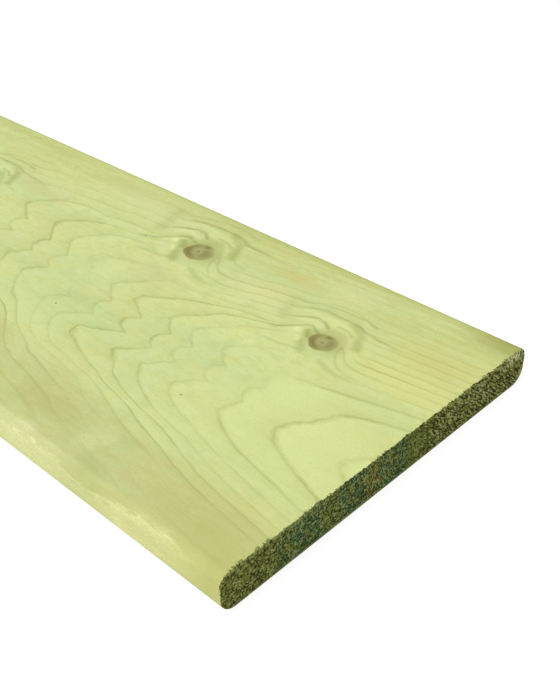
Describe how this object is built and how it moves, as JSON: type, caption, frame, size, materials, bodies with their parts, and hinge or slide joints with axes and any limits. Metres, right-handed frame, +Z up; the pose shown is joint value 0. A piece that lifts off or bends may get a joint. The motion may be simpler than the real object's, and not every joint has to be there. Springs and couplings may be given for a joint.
{
  "type": "planed board",
  "caption": "Long flat planed softwood board, pressure-treated to a pale green, with rounded long arrises and square rough-sawn ends, for facing, shelving, cladding or trim.",
  "frame": {"origin": "centre of the board's length and width, on the underside that it lies on", "axes": "+X along the length towards the sawn end in the picture, +Y across the width, +Z up out of the show face"},
  "size_m": [1.8, 0.195, 0.019],
  "materials": {
    "treated_softwood": "planed, matt, pale green from pressure treatment"
  },
  "bodies": {
    "root": {"board": "treated_softwood"}
  },
  "joints": []
}
